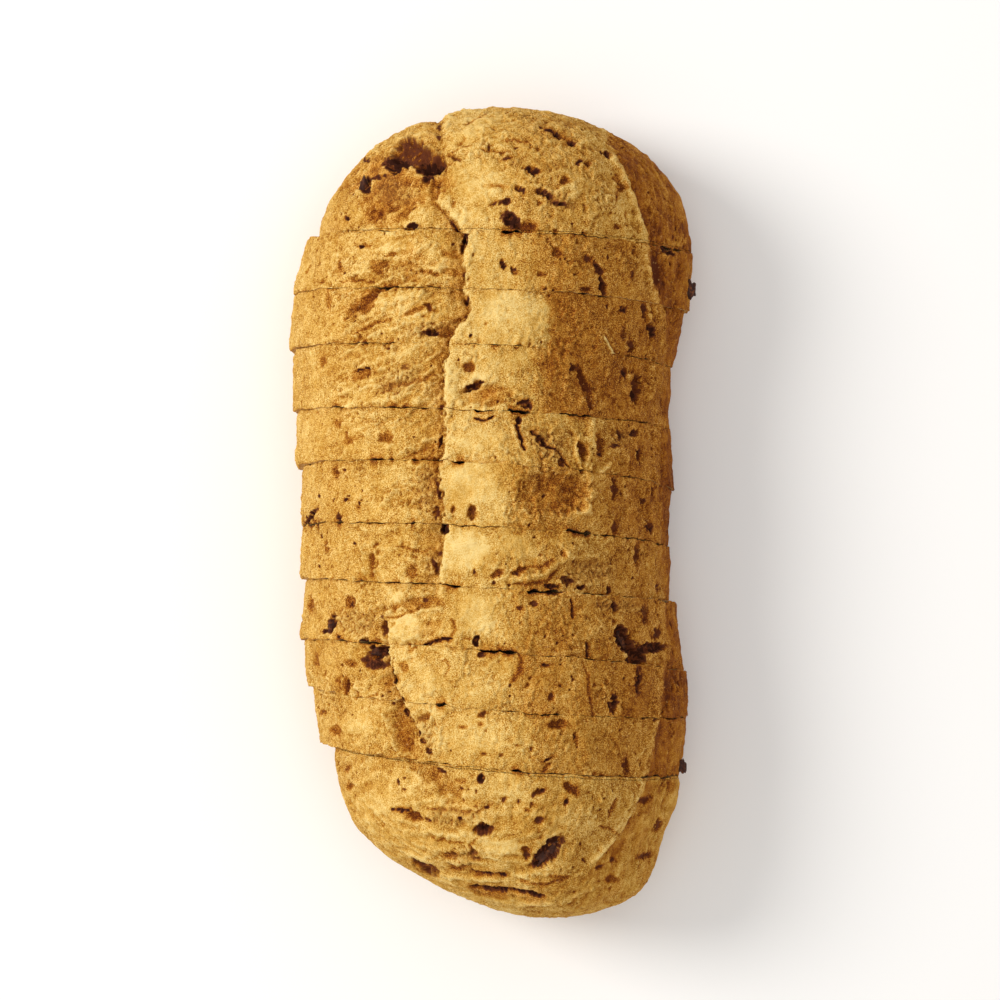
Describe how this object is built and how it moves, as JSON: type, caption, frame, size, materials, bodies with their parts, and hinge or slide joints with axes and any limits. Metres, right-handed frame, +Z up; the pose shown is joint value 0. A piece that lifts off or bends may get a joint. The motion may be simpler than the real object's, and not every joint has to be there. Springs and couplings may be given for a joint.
{
  "type": "sliced vegetable bread loaf",
  "caption": "Oval two-lobed loaf with baked vegetable pieces in its crust, cut into slices that stand together in the loaf's shape.",
  "frame": {"origin": "middle of the bottom of the loaf's bounding box, on the surface it rests on", "axes": "+Y along the loaf, from the heel nearest the foot of the picture to the far heel; +X to the picture's right; +Z up"},
  "size_m": [0.113, 0.2232, 0.0759],
  "materials": {
    "crust": "golden baked bread crust, rough and dull, with a dry pale crumb on the cut faces"
  },
  "bodies": {
    "root": {"far_heel": "crust", "slice_1": "crust", "slice_2": "crust", "slice_3": "crust", "slice_4": "crust", "slice_5": "crust", "slice_6": "crust", "slice_7": "crust", "slice_8": "crust", "slice_9": "crust", "near_heel": "crust"}
  },
  "joints": []
}
